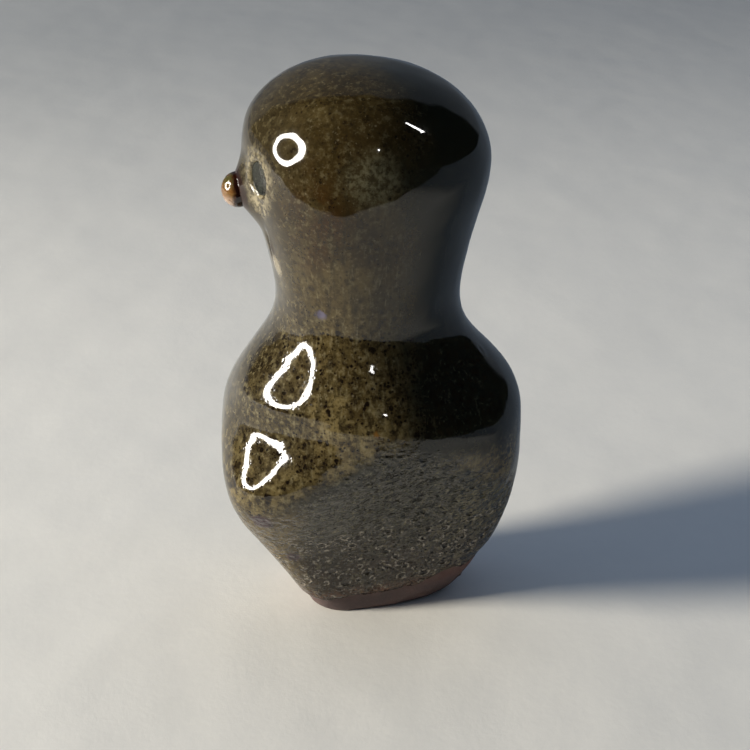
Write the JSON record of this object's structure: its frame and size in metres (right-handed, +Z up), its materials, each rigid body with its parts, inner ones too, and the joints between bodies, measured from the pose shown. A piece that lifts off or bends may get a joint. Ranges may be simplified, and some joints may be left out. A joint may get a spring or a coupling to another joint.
{
  "type": "owl figurine",
  "caption": "Small glazed stoneware bird figurine with a domed head, thick neck, thumb-pressed flanks and a flat bare clay foot to stand on.",
  "frame": {"origin": "on the surface it stands on, under the middle of the body", "axes": "+Z up; the bird faces -Y; +X is the bird's left side"},
  "size_m": [0.0353, 0.0407, 0.075],
  "materials": {
    "bare_clay": "unglazed fired stoneware, matt and slightly gritty",
    "body_glaze": "olive-brown iron glaze, glossy above and duller in the hollows",
    "honey_glaze": "glossy honey-amber glaze bead",
    "eye_glaze": "dark grey-green pooled glaze, glossy"
  },
  "bodies": {
    "root": {"body_clay": "bare_clay", "head_clay": "bare_clay", "glaze_coat": "body_glaze", "beak_clay": "bare_clay", "beak_glaze": "honey_glaze", "left_eye_glaze": "eye_glaze", "right_eye_glaze": "eye_glaze"}
  },
  "joints": []
}
